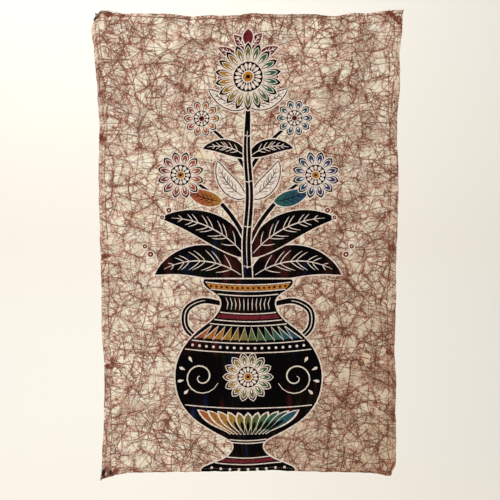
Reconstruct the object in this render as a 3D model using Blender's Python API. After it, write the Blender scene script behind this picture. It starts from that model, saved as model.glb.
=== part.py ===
import math
from collections import namedtuple

import bmesh
import bpy
import numpy as np

# One hemmed length of batik cotton, hung by its top edge.
# The origin is the middle of the top edge, on the plane that the two top corners lie against.
# The cloth faces -Y, and its back looks along +Y. Sizes are in metres.
WIDTH = 0.594
HEIGHT = 0.918
CLOTH_THICKNESS = 0.0014
HEM_THICKNESS = 0.0023
SIDE_HEM = 0.014
END_HEM = 0.008
HEM_STEP = 0.001
GRID_STEP = 0.019

# Behind each top corner a patch lies flat, and the cloth leaves the plane over the blend.
PATCH_WIDTH = 0.046
PATCH_HEIGHT = 0.034
PATCH_BLEND = 0.060

# Share of the width or height over which an edge's unevenness dies away inwards
EDGE_REACH = 0.45

# The tables below are in millimetres.
MM = 0.001

# How far each edge stands out of the straight hemmed rectangle.
# Sides are read downwards from the top, ends are read from the left corner.
Edge = namedtuple("Edge", "along out")

LEFT_EDGE = [
    Edge(along=0, out=0.0),
    Edge(along=12, out=6.0),
    Edge(along=30, out=10.3),
    Edge(along=45, out=8.5),
    Edge(along=90, out=4.7),
    Edge(along=125, out=1.5),
    Edge(along=180, out=-1.2),
    Edge(along=215, out=-3.0),
    Edge(along=260, out=-1.2),
    Edge(along=440, out=-1.4),
    Edge(along=620, out=-0.5),
    Edge(along=655, out=-2.5),
    Edge(along=680, out=-5.5),
    Edge(along=700, out=-3.4),
    Edge(along=785, out=-3.0),
    Edge(along=850, out=0.5),
    Edge(along=905, out=2.8),
    Edge(along=918, out=8.0),
]

RIGHT_EDGE = [
    Edge(along=0, out=7.0),
    Edge(along=14, out=5.5),
    Edge(along=30, out=7.5),
    Edge(along=55, out=4.5),
    Edge(along=80, out=0.8),
    Edge(along=115, out=2.6),
    Edge(along=160, out=1.0),
    Edge(along=200, out=-2.0),
    Edge(along=245, out=-2.0),
    Edge(along=300, out=1.3),
    Edge(along=460, out=1.8),
    Edge(along=495, out=0.2),
    Edge(along=545, out=1.7),
    Edge(along=580, out=0.3),
    Edge(along=650, out=2.0),
    Edge(along=725, out=4.5),
    Edge(along=770, out=3.0),
    Edge(along=825, out=5.0),
    Edge(along=885, out=6.5),
    Edge(along=905, out=4.8),
    Edge(along=918, out=-3.0),
]

TOP_EDGE = [
    Edge(along=0, out=3.0),
    Edge(along=13, out=9.0),
    Edge(along=30, out=5.0),
    Edge(along=50, out=2.0),
    Edge(along=100, out=1.0),
    Edge(along=155, out=0.0),
    Edge(along=188, out=-4.3),
    Edge(along=215, out=-2.0),
    Edge(along=280, out=-2.3),
    Edge(along=302, out=1.0),
    Edge(along=340, out=-0.3),
    Edge(along=440, out=-1.8),
    Edge(along=468, out=-6.2),
    Edge(along=490, out=0.8),
    Edge(along=530, out=1.2),
    Edge(along=570, out=6.8),
    Edge(along=594, out=9.0),
]

BOTTOM_EDGE = [
    Edge(along=0, out=14.0),
    Edge(along=20, out=10.0),
    Edge(along=50, out=3.2),
    Edge(along=85, out=1.0),
    Edge(along=100, out=-2.6),
    Edge(along=200, out=-1.0),
    Edge(along=300, out=0.0),
    Edge(along=340, out=-0.5),
    Edge(along=420, out=3.4),
    Edge(along=480, out=6.0),
    Edge(along=540, out=6.2),
    Edge(along=580, out=8.5),
    Edge(along=594, out=4.0),
]

# How far the cloth hangs off the plane behind it, at its left edge, middle and right edge
Hang = namedtuple("Hang", "down left middle right")

HANGS = [
    Hang(down=0, left=0.0, middle=0.6, right=0.0),
    Hang(down=60, left=0.6, middle=1.8, right=1.8),
    Hang(down=150, left=1.6, middle=2.6, right=4.5),
    Hang(down=300, left=2.6, middle=3.2, right=6.2),
    Hang(down=500, left=3.2, middle=4.2, right=7.2),
    Hang(down=700, left=4.2, middle=4.8, right=8.6),
    Hang(down=850, left=6.2, middle=5.2, right=10.2),
    Hang(down=918, left=8.6, middle=5.8, right=12.0),
]

# Soft folds: a crest runs from its start to its end, half_width to each side, and rises off the plane.
# A negative rise is a trough. across is measured from the middle line, to the right.
Fold = namedtuple("Fold", "start_across start_down end_across end_down half_width rise")

FOLDS = [
    # tension from the two top corners
    Fold(start_across=-262, start_down=52, end_across=-120, end_down=215, half_width=26, rise=2.4),
    Fold(start_across=-276, start_down=90, end_across=-236, end_down=330, half_width=24, rise=-1.8),
    Fold(start_across=262, start_down=50, end_across=120, end_down=190, half_width=24, rise=2.8),
    Fold(start_across=272, start_down=95, end_across=214, end_down=330, half_width=26, rise=-2.2),
    # the two dips of the top edge
    Fold(start_across=-108, start_down=-10, end_across=-96, end_down=110, half_width=30, rise=1.8),
    Fold(start_across=172, start_down=-10, end_across=150, end_down=120, half_width=26, rise=2.2),
    # long soft rolls down the sides
    Fold(start_across=-268, start_down=330, end_across=-254, end_down=640, half_width=30, rise=2.2),
    Fold(start_across=-290, start_down=640, end_across=-276, end_down=760, half_width=26, rise=-2.4),
    Fold(start_across=262, start_down=380, end_across=250, end_down=640, half_width=34, rise=-2.6),
    Fold(start_across=284, start_down=640, end_across=262, end_down=905, half_width=38, rise=3.0),
    # slack in the lower half
    Fold(start_across=60, start_down=560, end_across=118, end_down=960, half_width=70, rise=3.4),
    Fold(start_across=-40, start_down=600, end_across=-70, end_down=960, half_width=54, rise=-2.4),
    Fold(start_across=-190, start_down=640, end_across=-226, end_down=960, half_width=46, rise=2.8),
    Fold(start_across=-120, start_down=300, end_across=60, end_down=520, half_width=64, rise=1.8),
]


def read_rows(rows, column, at):
    """The value of one column at a place between the rows, on a smooth curve through them."""
    places = np.array([row[0] for row in rows], float)
    values = np.array([getattr(row, column) for row in rows], float)
    slopes = np.gradient(values, places)
    at = min(max(at, places[0]), places[-1])
    row = min(int(np.searchsorted(places, at, side="right")), len(places) - 1) - 1
    gap = places[row + 1] - places[row]
    t = (at - places[row]) / gap
    start = values[row] * (1 + 2 * t) * (1 - t) ** 2
    end = values[row + 1] * t * t * (3 - 2 * t)
    bend = gap * t * (1 - t) * (slopes[row] * (1 - t) - slopes[row + 1] * t)
    return float(start + end + bend)


def ease(t):
    t = min(max(t, 0.0), 1.0)
    return t * t * (3 - 2 * t)


def fold_rise(fold, across, down):
    """How much one fold lifts the cloth here: full on the crest, easing out to the sides and both ends."""
    start = np.array([fold.start_across, fold.start_down], float)
    along = np.array([fold.end_across, fold.end_down], float) - start
    length = float(np.linalg.norm(along))
    along = along / length
    here = np.array([across, down], float) - start
    distance = float(here @ along)
    aside = float(here[0] * along[1] - here[1] * along[0])
    side_fade = math.exp(-((aside / fold.half_width) ** 2))
    start_fade = ease(0.5 + distance / fold.half_width / 2)
    end_fade = ease(0.5 + (length - distance) / fold.half_width / 2)
    return fold.rise * side_fade * start_fade * end_fade


def patch_share(across, down):
    """0 on the flat patches behind the top corners, 1 well away from them."""
    beside = WIDTH / 2 - PATCH_WIDTH - abs(across)
    below = down - PATCH_HEIGHT
    return ease(math.hypot(max(beside, 0.0), max(below, 0.0)) / PATCH_BLEND)


def off_plane(across, down):
    """How far the cloth's back stands off the plane, at this place of the straight rectangle."""
    across_mm = across / MM
    down_mm = down / MM
    left = read_rows(HANGS, "left", down_mm)
    middle = read_rows(HANGS, "middle", down_mm)
    right = read_rows(HANGS, "right", down_mm)
    side = 2 * across / WIDTH
    hang = middle + (right - left) / 2 * side + ((right + left) / 2 - middle) * side * side
    folds = sum(fold_rise(fold, across_mm, down_mm) for fold in FOLDS)
    return max(hang + folds, 0.0) * MM * patch_share(across, down)


def outline_place(across, down):
    """Where this place of the straight rectangle lies once the four uneven edges have moved it."""
    left_share = max(1 - (0.5 + across / WIDTH) / EDGE_REACH, 0.0) ** 2
    right_share = max(1 - (0.5 - across / WIDTH) / EDGE_REACH, 0.0) ** 2
    top_share = max(1 - down / HEIGHT / EDGE_REACH, 0.0) ** 2
    bottom_share = max(1 - (1 - down / HEIGHT) / EDGE_REACH, 0.0) ** 2
    from_left = (across + WIDTH / 2) / MM
    left = read_rows(LEFT_EDGE, "out", down / MM) * left_share
    right = read_rows(RIGHT_EDGE, "out", down / MM) * right_share
    top = read_rows(TOP_EDGE, "out", from_left) * top_share
    bottom = read_rows(BOTTOM_EDGE, "out", from_left) * bottom_share
    return across + (right - left) * MM, -down + (top - bottom) * MM


def grid_stations(length, hem):
    """Places along one side: the hem's edge, middle and step at each end, and even steps between."""
    inner = hem + HEM_STEP
    steps = round((length - 2 * inner) / GRID_STEP)
    even = np.linspace(inner, length - inner, steps + 1)
    return [0.0, hem / 2, hem, *even, length - hem, length - hem / 2, length]


def in_hem(column, row, columns, rows):
    """The first and last three stations each way are the turned hem."""
    return min(column, columns - 1 - column, row, rows - 1 - row) < 3


def sheet_mesh():
    """The closed sheet: a front and a back grid with the same stations, joined round the edge."""
    across_stations = [place - WIDTH / 2 for place in grid_stations(WIDTH, SIDE_HEM)]
    down_stations = grid_stations(HEIGHT, END_HEM)
    columns = len(across_stations)
    rows = len(down_stations)
    bm = bmesh.new()
    front = []
    back = []
    for row, down in enumerate(down_stations):
        for column, across in enumerate(across_stations):
            x, z = outline_place(across, down)
            back_y = -off_plane(across, down)
            front_y = back_y - HEM_THICKNESS
            if not in_hem(column, row, columns, rows):
                back_y = front_y + CLOTH_THICKNESS
            front.append(bm.verts.new((x, front_y, z)))
            back.append(bm.verts.new((x, back_y, z)))
    for row in range(rows - 1):
        for column in range(columns - 1):
            corner = row * columns + column
            ring = (corner, corner + columns, corner + columns + 1, corner + 1)
            bm.faces.new([front[i] for i in ring])
            bm.faces.new([back[i] for i in reversed(ring)])
    for start, end in edge_pairs(columns, rows):
        bm.faces.new((front[end], back[end], back[start], front[start]))
    bmesh.ops.recalc_face_normals(bm, faces=bm.faces)
    mesh = bpy.data.meshes.new("batik_cloth")
    bm.to_mesh(mesh)
    bm.free()
    mesh.shade_smooth()
    mesh.set_sharp_from_angle(angle=math.radians(35))
    return mesh


def edge_pairs(columns, rows):
    """Neighbouring grid places once round the edge, anticlockwise from the top left corner."""
    down_left = [row * columns for row in range(rows)]
    along_bottom = [(rows - 1) * columns + column for column in range(1, columns)]
    up_right = [row * columns + columns - 1 for row in range(rows - 2, -1, -1)]
    along_top = list(range(columns - 2, 0, -1))
    ring = down_left + along_bottom + up_right + along_top
    return list(zip(ring, ring[1:] + ring[:1]))


def batik_cotton():
    """Cream cotton under a net of red-brown crackle, seen from far enough to blend."""
    material = bpy.data.materials.new("batik_cotton")
    material.use_nodes = True
    shader = material.node_tree.nodes["Principled BSDF"]
    shader.inputs["Base Color"].default_value = (0.50, 0.37, 0.26, 1.0)
    shader.inputs["Roughness"].default_value = 0.85
    shader.inputs["Metallic"].default_value = 0.0
    return material


def batik_cloth():
    cloth = bpy.data.objects.new("batik_cloth", sheet_mesh())
    cloth.data.materials.append(batik_cotton())
    bpy.context.scene.collection.objects.link(cloth)
    return cloth


for old in list(bpy.data.objects):
    bpy.data.objects.remove(old, do_unlink=True)

batik_cloth()
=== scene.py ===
import math

import bpy
import numpy as np
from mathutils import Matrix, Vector
from mathutils.geometry import delaunay_2d_cdt
from mathutils.kdtree import KDTree


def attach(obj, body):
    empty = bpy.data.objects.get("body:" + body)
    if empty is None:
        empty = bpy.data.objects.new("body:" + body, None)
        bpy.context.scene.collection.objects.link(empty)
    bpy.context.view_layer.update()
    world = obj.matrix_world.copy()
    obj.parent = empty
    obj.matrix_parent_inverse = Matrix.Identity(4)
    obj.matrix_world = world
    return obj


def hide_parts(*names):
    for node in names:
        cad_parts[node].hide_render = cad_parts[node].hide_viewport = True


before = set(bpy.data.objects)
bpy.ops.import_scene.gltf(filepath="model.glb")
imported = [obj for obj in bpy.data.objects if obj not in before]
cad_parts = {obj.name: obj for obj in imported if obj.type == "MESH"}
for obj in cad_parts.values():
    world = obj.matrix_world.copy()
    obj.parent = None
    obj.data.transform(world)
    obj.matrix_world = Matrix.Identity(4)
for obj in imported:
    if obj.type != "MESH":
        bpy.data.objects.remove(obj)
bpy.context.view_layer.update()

# Sizes are in millimetres on the cloth, and turned to metres where a mesh is made.
mm = 0.001

# The cut cloth lies flat as across, from its middle line, and up, from the fold of its bottom hem.
cloth = {
    "width": 594.0, "height": 918.0,
    "sideHem": 14.0, "endHem": 8.0,
    "thickness": 0.30, "foldRadius": 0.35,
    "frontOffWall": 2.3,  # the front face, ahead of whatever the back hangs off the wall
    "gridStep": 6.5,
    "edgeReach": 0.45,    # share of the cloth over which an edge's unevenness dies away
    "patchWidth": 46.0, "patchHeight": 34.0, "patchBlend": 60.0,   # the flat patches behind the top corners
    "creaseBlend": 12.0, "creaseLeast": 0.35,                      # small creases run on over most of them
    "cornerBlend": 10.0,  # over which the end hems widen to fold over the side hems
    "ringClear": 0.8, "gridClear": 1.3,   # how near the picture's lines a point of the mesh may lie
}

# How far each edge stands out of a straight rectangle: mm along it, then mm out.
# Sides run down from the top, ends run from the left corner.
edges = {
    "left": [(0, -3.9), (4, 0.8), (8.5, 4.8), (16, 8.1), (24, 10.6), (37, 10.2), (45, 8.8), (56, 7.2),
             (90, 4.7), (125, 1.5), (180, -1.2), (215, -3.0), (260, -1.2), (440, -1.0), (500, -1.9),
             (560, -2.6), (620, -1.6), (655, -3.0), (675, -4.4), (695, -5.6), (725, -5.6), (775, -4.4),
             (825, -2.8), (865, 0.6), (905, 2.8), (918, 5.8)],
    "right": [(0, 8.4), (8, 7.6), (20, 6.4), (36, 7.0), (55, 4.5), (80, 0.8), (115, 2.6), (160, 1.4),
              (200, -2.0), (245, -2.0), (300, 1.3), (400, 1.5), (460, 0.6), (495, -0.9), (545, 0.5),
              (580, 0.0), (625, -0.6), (668, -1.8), (700, 0.4), (725, 2.5), (775, 1.6), (825, 3.4),
              (876, 3.8), (893, 3.4), (901, 1.4), (909, -1.8), (918, -6.0)],
    "top": [(0, -1.7), (3.6, -0.4), (6.3, 8.6), (10, 8.4), (14, 7.2), (20, 7.0), (26, 5.4), (36, 3.8),
            (50, 2.2), (70, 2.0), (100, 2.0), (155, 0.0), (188, -4.3), (215, -2.0), (280, -1.0),
            (302, 2.8), (340, 0.6), (440, -0.8), (468, -4.2), (490, 1.6), (530, 2.8), (552, 5.8),
            (568, 8.8), (580, 9.2), (594, 9.0)],
    "bottom": [(0, 15.0), (8, 13.8), (20, 10.2), (36, 4.6), (50, 1.8), (90, 0.0), (135, 0.0), (200, 0.2),
               (297, -1.4), (337, -3.8), (398, -3.0), (450, -1.8), (500, -0.6), (540, -0.2), (566, 2.6),
               (580, 5.2), (588, 6.2), (594, 6.2)],
}

# How the cloth hangs off the wall: mm down, then mm off it at the left edge, the middle and the right edge
hang = [(0, 0.0, 0.6, 0.0), (60, 0.6, 1.8, 1.8), (150, 1.6, 2.6, 4.5), (300, 2.6, 3.2, 6.2),
        (500, 3.2, 4.2, 7.2), (700, 4.2, 4.8, 8.6), (850, 6.2, 5.2, 10.2), (918, 8.6, 5.8, 12.0)]

# Soft folds: across and down where each starts and ends, half its width and how far it rises, below 0 for
# a trough
folds = [
    (-262, 52, -120, 215, 26, 2.4), (-276, 90, -236, 330, 24, -1.8),
    (262, 50, 120, 190, 24, 2.8), (272, 95, 214, 330, 26, -2.2),
    (-108, -10, -96, 110, 30, 1.8), (172, -10, 150, 120, 26, 2.2),
    (-268, 330, -254, 640, 30, 2.2), (-290, 640, -276, 760, 26, -2.4),
    (262, 380, 250, 640, 34, -2.6), (284, 640, 262, 905, 38, 3.0),
    (60, 560, 118, 960, 70, 3.4), (-40, 600, -70, 960, 54, -2.4),
    (-190, 640, -226, 960, 46, 2.8), (-120, 300, 60, 520, 64, 1.8),
]

# Small creases that the soft folds don't hold, read the same way
creases = [
    (-286, 20, -226, 74, 9, 0.9), (-290, 40, -252, 150, 8, -0.7), (-250, 12, -170, 40, 9, 0.6),
    (290, 24, 236, 70, 9, 0.9), (288, 60, 262, 170, 8, -0.8), (250, 10, 180, 36, 9, 0.6),
    (-292, 660, -250, 690, 9, 0.8), (-288, 700, -262, 760, 9, 0.6), (-284, 900, -230, 860, 11, 0.9),
    (-262, 912, -200, 900, 10, -0.6), (284, 900, 232, 852, 12, 1.0), (290, 846, 262, 760, 10, 0.7),
    (150, 912, 176, 850, 12, 0.8), (20, 914, 4, 860, 12, 0.6), (-120, 914, -132, 866, 12, 0.7),
    (294, 205, 270, 268, 9, 0.7), (-292, 216, -266, 250, 9, 0.7), (168, 8, 158, 60, 9, 0.7),
    (-108, 8, -104, 54, 9, 0.6), (8, 8, 4, 50, 9, -0.5),
]

# The hem's stitching draws the cloth up a little: mm of waviness and its wavelengths along the edge
pucker = {
    "depth": 0.28, "reach": 15.0, "waves": (11.0, 17.3, 29.0),
    "edgeWander": 0.75, "wanderWaves": (23.0, 41.0, 67.0),
}


def readRows(rows, column, at):
    # one column of a table at any place between its rows, on a smooth curve
    places = np.array([row[0] for row in rows], float)
    values = np.array([row[column] for row in rows], float)
    slopes = np.gradient(values, places)
    at = np.clip(at, places[0], places[-1])
    row = np.clip(np.searchsorted(places, at, side="right") - 1, 0, len(places) - 2)
    gap = places[row + 1] - places[row]
    t = (at - places[row]) / gap
    bend = gap * t * (1 - t) * (slopes[row] * (1 - t) - slopes[row + 1] * t)
    return values[row] * (1 + 2 * t) * (1 - t) ** 2 + values[row + 1] * t * t * (3 - 2 * t) + bend


def ease(t):
    t = np.clip(t, 0.0, 1.0)
    return t * t * (3 - 2 * t)


def foldRise(rows, across, down):
    # what a list of folds or creases adds to the cloth's distance off the wall
    total = np.zeros_like(across)
    for startAcross, startDown, endAcross, endDown, halfWidth, rise in rows:
        length = math.hypot(endAcross - startAcross, endDown - startDown)
        alongX, alongY = (endAcross - startAcross) / length, (endDown - startDown) / length
        distance = (across - startAcross) * alongX + (down - startDown) * alongY
        aside = (across - startAcross) * alongY - (down - startDown) * alongX
        ends = ease(0.5 + distance / halfWidth / 2) * ease(0.5 + (length - distance) / halfWidth / 2)
        total += rise * np.exp(-(aside / halfWidth) ** 2) * ends
    return total


def offWall(across, down):
    side = 2 * across / cloth["width"]
    left, middle, right = (readRows(hang, column, down) for column in (1, 2, 3))
    lean = middle + (right - left) / 2 * side + ((right + left) / 2 - middle) * side * side
    beside = np.maximum(cloth["width"] / 2 - cloth["patchWidth"] - abs(across), 0)
    below = np.maximum(down - cloth["patchHeight"], 0)
    patch = ease(np.hypot(beside, below) / cloth["patchBlend"])
    creaseShare = ease(np.hypot(beside, below) / cloth["creaseBlend"] + cloth["creaseLeast"])
    creased = foldRise(creases, across, down) * creaseShare
    return np.maximum(lean + foldRise(folds, across, down), 0) * patch + creased


def waviness(along, wavelengths, shift):
    waves = [math.sin(1.3 * shift + number) + np.sin(2 * math.pi * along / wave + 2.1 * number + shift)
             * (1 + 0.5 * np.sin(along / (3.1 * wave) + shift)) for number, wave in enumerate(wavelengths)]
    return sum(waves) / len(waves)


def hungPlace(across, down):
    # where a place of the straight rectangle hangs, as x and z in mm and how far the stitching lifts it
    width, height = cloth["width"], cloth["height"]
    shares = [np.maximum(1 - distance / cloth["edgeReach"], 0) ** 2 for distance in
              (0.5 + across / width, 0.5 - across / width, down / height, 1 - down / height)]
    nears = [np.exp(-np.maximum(distance, 0) / pucker["reach"]) for distance in
             (across + width / 2, width / 2 - across, down, height - down)]
    fromLeft = across + width / 2
    outs = []
    lift = 0
    alongEdge = {"left": down, "right": down, "top": fromLeft, "bottom": fromLeft}
    for number, (name, along) in enumerate(alongEdge.items()):
        wander = pucker["edgeWander"] * waviness(along, pucker["wanderWaves"], 1.7 * number) * nears[number]
        outs.append(readRows(edges[name], 1, along) * shares[number] + wander)
        lift = lift + pucker["depth"] * waviness(along, pucker["waves"], 2.3 + number) * nears[number]
    return across + outs[1] - outs[0], -down + outs[2] - outs[3], lift


def turnUnder(beyond, depth, radius):
    # folds what lies beyond a line back behind the rest: mm out from the line, and mm behind the front
    quarter = math.pi / 2 * radius
    angle = np.clip((beyond + quarter) / radius, 0, math.pi)
    flat = np.where(beyond < -quarter, beyond, np.where(beyond > quarter, -beyond, -quarter))
    return flat + (radius - depth) * np.sin(angle), radius - (radius - depth) * np.cos(angle)


def onCloth(across, up):
    # the hung place of each point of the flat cloth, hems turned under, in metres
    across, up = np.asarray(across, float), np.asarray(up, float)
    half, radius = cloth["width"] / 2, cloth["foldRadius"]
    out, depth = turnUnder(abs(across) - half, 0, radius)
    foldedAcross = np.sign(across) * (half + out)
    # at the corners the end hems fold over the side hems, so they turn on a wider radius
    overSideHem = ease((abs(foldedAcross) - (half - cloth["sideHem"])) / cloth["cornerBlend"] + 1)
    endRadius = radius * (1 + 2 * overSideHem)
    outTop, depthTop = turnUnder(up - cloth["height"], depth, endRadius)
    outBottom, depthBottom = turnUnder(-up, depth, endRadius)
    atTop = up > cloth["height"] / 2
    foldedUp = np.where(atTop, cloth["height"] + outTop, -outBottom)
    depth = np.where(atTop, depthTop, depthBottom)
    down = cloth["height"] - foldedUp
    x, z, lift = hungPlace(foldedAcross, down)
    y = depth - offWall(foldedAcross, down) - cloth["frontOffWall"] + cloth["thickness"] / 2 - lift
    return np.stack([x, y, z], -1) * mm


# The picture is a generic flowering plant in a footed vase, drawn in mm: x from the middle line, y up from
# the bottom fold. Each shape is a dye and its outline, painted over the ones before.
painting = []


def paint(dye, outline):
    painting.append((dye, np.asarray(outline, float)))


def mirrored(outline):
    flipped = np.asarray(outline, float).copy()
    flipped[:, 0] *= -1
    return flipped[::-1]


def waxed(dye, outline, margin=2.2):
    # the clean line that the wax leaves round a dyed shape
    paint("wax", outset(outline, margin))
    paint(dye, outline)


def bothWaxed(dye, outline, margin=2.2):
    waxed(dye, outline, margin)
    waxed(dye, mirrored(outline), margin)


def smoothLine(points, steps=7):
    # a soft curve through given points
    points = np.asarray(points, float)
    drawn = []
    for span in range(len(points) - 1):
        b, c = points[span], points[span + 1]
        a = points[span - 1] if span else 2 * b - c
        d = points[span + 2] if span + 2 < len(points) else 2 * c - b
        for t in np.arange(steps) / steps:
            drawn.append(0.5 * (2 * b + (c - a) * t + (2 * a - 5 * b + 4 * c - d) * t ** 2
                                + (3 * b - a - 3 * c + d) * t ** 3))
    drawn.append(points[-1])
    return np.array(drawn)


def sideways(path, closed=False):
    # unit vectors square to the path, to its left
    ahead = np.roll(path, -1, 0) - np.roll(path, 1, 0) if closed else np.gradient(path, axis=0)
    ahead /= np.maximum(np.linalg.norm(ahead, axis=1, keepdims=True), 1e-9)
    return np.stack([-ahead[:, 1], ahead[:, 0]], 1)


def brushLine(path, width, startWidth=None, endWidth=None):
    # the outline of one stroke of the wax pen, thinner at its ends
    path = np.asarray(path, float)
    share = np.linspace(0, 1, len(path))
    startWidth = width * 0.5 if startWidth is None else startWidth
    endWidth = width * 0.5 if endWidth is None else endWidth
    half = 0.5 * (width + (startWidth - width) * (1 - share) ** 4 + (endWidth - width) * share ** 4)
    side = sideways(path)
    return np.concatenate([path + side * half[:, None], (path - side * half[:, None])[::-1]])


def outset(outline, margin):
    # the same shape, larger by an even margin all round
    outline = np.asarray(outline, float)
    after = np.roll(outline, -1, 0)
    area = 0.5 * np.sum(outline[:, 0] * after[:, 1] - after[:, 0] * outline[:, 1])
    return outline - sideways(outline, closed=True) * margin * (1 if area > 0 else -1)


def aimed(outline, angle, place):
    # a shape drawn along x, turned to an angle in degrees and moved to its place
    turn = math.radians(angle)
    spin = np.array([[math.cos(turn), math.sin(turn)], [-math.sin(turn), math.cos(turn)]])
    return np.asarray(outline, float) @ spin + np.asarray(place, float)


def toward(place, angle, distance):
    turn = math.radians(angle)
    return place[0] + distance * math.cos(turn), place[1] + distance * math.sin(turn)


def disc(place, radius):
    sides = int(radius * 1.6) + 10
    return [toward(place, number * 360 / sides, radius) for number in range(sides)]


def petalShape(length, width, belly=0.62, steps=9):
    # along x from its root, fullest past the middle
    share = np.linspace(0, 1, steps)
    half = width / 2 * np.sin(math.pi * share ** (math.log(0.5) / math.log(belly))) ** 0.75
    half[0] = width * 0.10
    top = np.stack([share * length, half], 1)
    low = np.stack([share * length, -half], 1)
    return np.concatenate([top, low[-2::-1]])


def curvedPath(root, angle, length, bend, steps=15):
    # a line that sets off at an angle and turns evenly by bend degrees
    heading = np.radians(angle + bend * np.linspace(0, 1, steps))[:-1]
    step = length / (steps - 1)
    x = root[0] + np.concatenate([[0], np.cumsum(np.cos(heading) * step)])
    y = root[1] + np.concatenate([[0], np.cumsum(np.sin(heading) * step)])
    return np.stack([x, y], 1)


leaves = [  # dye, dye of the veins, root, angle, length, width, bend, pairs of veins, vein width
    ("blackDye", "wax", (6, 398), 38, 196, 66, -76, 8, 1.8),
    ("blackDye", "wax", (4, 440), 52, 196, 58, -58, 8, 1.8),
    ("paintedDye", "blackDye", (52, 552), 4, 78, 30, 34, 5, 1.5),
    ("creamLeaf", "blackDye", (6, 560), 28, 92, 32, 52, 6, 1.5),
    ("blackDye", "wax", (4, 640), 40, 92, 30, -62, 6, 1.5),
    ("creamLeaf", "blackDye", (6, 738), 10, 80, 24, 34, 5, 1.6),
    ("maroonDye", "wax", (10, 744), 36, 78, 22, 30, 5, 1.6),
    ("maroonDye", "wax", (3, 846), 62, 42, 19, -18, 3, 1.5),
    ("maroonDye", "wax", (24, 836), 34, 40, 18, -14, 3, 1.5),
]


def drawLeaf(dye, veinDye, root, angle, length, width, bend, veins, veinWidth):
    # one curved leaf on each side, with its midrib and side veins
    path = curvedPath(root, angle, length, bend, 19)
    share = np.linspace(0, 1, len(path))
    half = width / 2 * np.sin(math.pi * share ** 0.78) ** 0.8
    half[0] = 0.03 * width
    side = sideways(path)
    outline = np.concatenate([path + side * half[:, None], (path - side * half[:, None])[-2::-1]])
    if dye == "creamLeaf":
        bothWaxed("blackDye", outset(outline, 2.0))
        dye = "wax"
    bothWaxed(dye, outline, 2.2 if dye != "wax" else 0.0)
    lines = [brushLine(path[1:-2], veinWidth * 1.35, endWidth=0.6)]
    for number in range(1, veins + 1):
        at = 2 + round(number * (len(path) - 6) / (veins + 1))
        heading = angle + bend * share[at]
        reach = half[min(at + 2, len(half) - 1)] * 1.05
        if reach > 4:
            for way in (1, -1):
                vein = curvedPath(path[at], heading + way * 46, reach, -way * 22, 6)
                lines.append(brushLine(vein, veinWidth, endWidth=0.5))
    for line in lines:
        paint(veinDye, line)
        paint(veinDye, mirrored(line))


flowers = [  # middle, radius, petals, first petal's angle, dye of the heart
    ((134, 604), 47, 12, 15, "ochreDye"), ((-134, 604), 47, 12, 15, "ochreDye"),
    ((92, 716), 36, 10, 0, "maroonDye"), ((-92, 716), 36, 10, 0, "maroonDye"),
    ((0, 796), 66, 18, 10, "ochreDye"),
]
flowerParts = {  # lengths as shares of the flower's radius, widths as shares of a petal's
    "petal": 0.66, "petalRoot": 0.34, "petalFill": 0.94,
    "inner": 0.49, "innerRoot": 0.39, "innerWidth": 0.60,
    "tip": 0.26, "tipRoot": 0.44, "tipWidth": 0.20,
    "disc": 0.44, "discLine": 0.03,
    "seed": 0.22, "seedRoot": 0.19, "seedRing": 0.33, "seedFill": 0.80,
    "heartLine": 0.185, "heart": 0.15, "heartDot": 0.06,
}


def drawFlower(place, radius, petals, turn, heart):
    # a ring of brush-painted petals round a dotted heart
    size = {name: radius * share for name, share in flowerParts.items()}
    outerWidth = 2 * math.pi * size["petal"] / petals * flowerParts["petalFill"]
    for number in range(petals):
        angle = turn + number * 360 / petals
        outer = petalShape(size["petal"], outerWidth)
        inner = petalShape(size["inner"], outerWidth * flowerParts["innerWidth"])
        tip = petalShape(size["tip"], outerWidth * flowerParts["tipWidth"])
        waxed("blackDye", aimed(outer, angle, toward(place, angle, size["petalRoot"])), 1.9)
        waxed("paintedDye", aimed(inner, angle, toward(place, angle, size["innerRoot"])), 1.5)
        paint("wax", aimed(tip, angle, toward(place, angle, size["tipRoot"])))
    waxed("blackDye", disc(place, size["disc"]), size["discLine"])
    seed = petalShape(size["seed"], 2 * math.pi * size["seedRing"] / petals * flowerParts["seedFill"])
    for number in range(petals):
        angle = turn + (number + 0.5) * 360 / petals
        paint("wax", aimed(seed, angle, toward(place, angle, size["seedRoot"])))
    paint("wax", disc(place, size["heartLine"]))
    paint(heart, disc(place, size["heart"]))
    paint("blackDye", disc(place, size["heartDot"]))


vase = {
    # height above the bottom fold, and half the vase's width there
    "profile": [(-22, 96), (0, 96), (10, 90), (26, 50), (40, 34), (54, 30), (66, 40), (84, 72), (112, 112),
                (146, 138), (184, 148), (222, 146), (258, 130), (288, 104), (312, 74), (332, 58), (350, 54),
                (364, 62), (378, 82), (388, 90), (396, 88)],
    "handle": [(50, 346), (92, 352), (124, 334), (126, 300), (104, 278), (84, 282)],
    "sag": 9,          # how far the bands dip in the middle
    "penLine": 2.0,    # width of the pen's lines
    "teeth": 12, "gadroons": 11, "neckStrokes": 11,   # how many go round its face
    "lipBand": (378, 388), "neckBand": (318, 325.5), "footBand": (21, 27),   # from one height to the other
    "rings": (390, 376, 366, 329, 314, 306, 272, 254, 139, 66, 60, 30, 18),  # heights of the lines round it
    "rosette": (0, 196), "rosetteSize": 50, "rosettePetals": 14,
    "scroll": (96, 196), "scrollSize": 34, "scrollFrom": 200, "scrollTurn": 560,   # degrees
    "dropAngles": (60, 25, -10, -45),                 # the drops outside each scroll
}


def onVase(across, up, inset=7):
    # a place on the vase's face: across runs from -1 to 1, on lines that sag as they go round it
    ups, halves = zip(*vase["profile"])
    half = float(np.interp(up, ups, halves)) - inset
    return across * half, up - vase["sag"] * (half / 140) * (1 - across * across)


def bandLine(up, width=1.9, inset=4):
    return brushLine([onVase(share, up, inset) for share in np.linspace(-1, 1, 17)], width, width, width)


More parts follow.
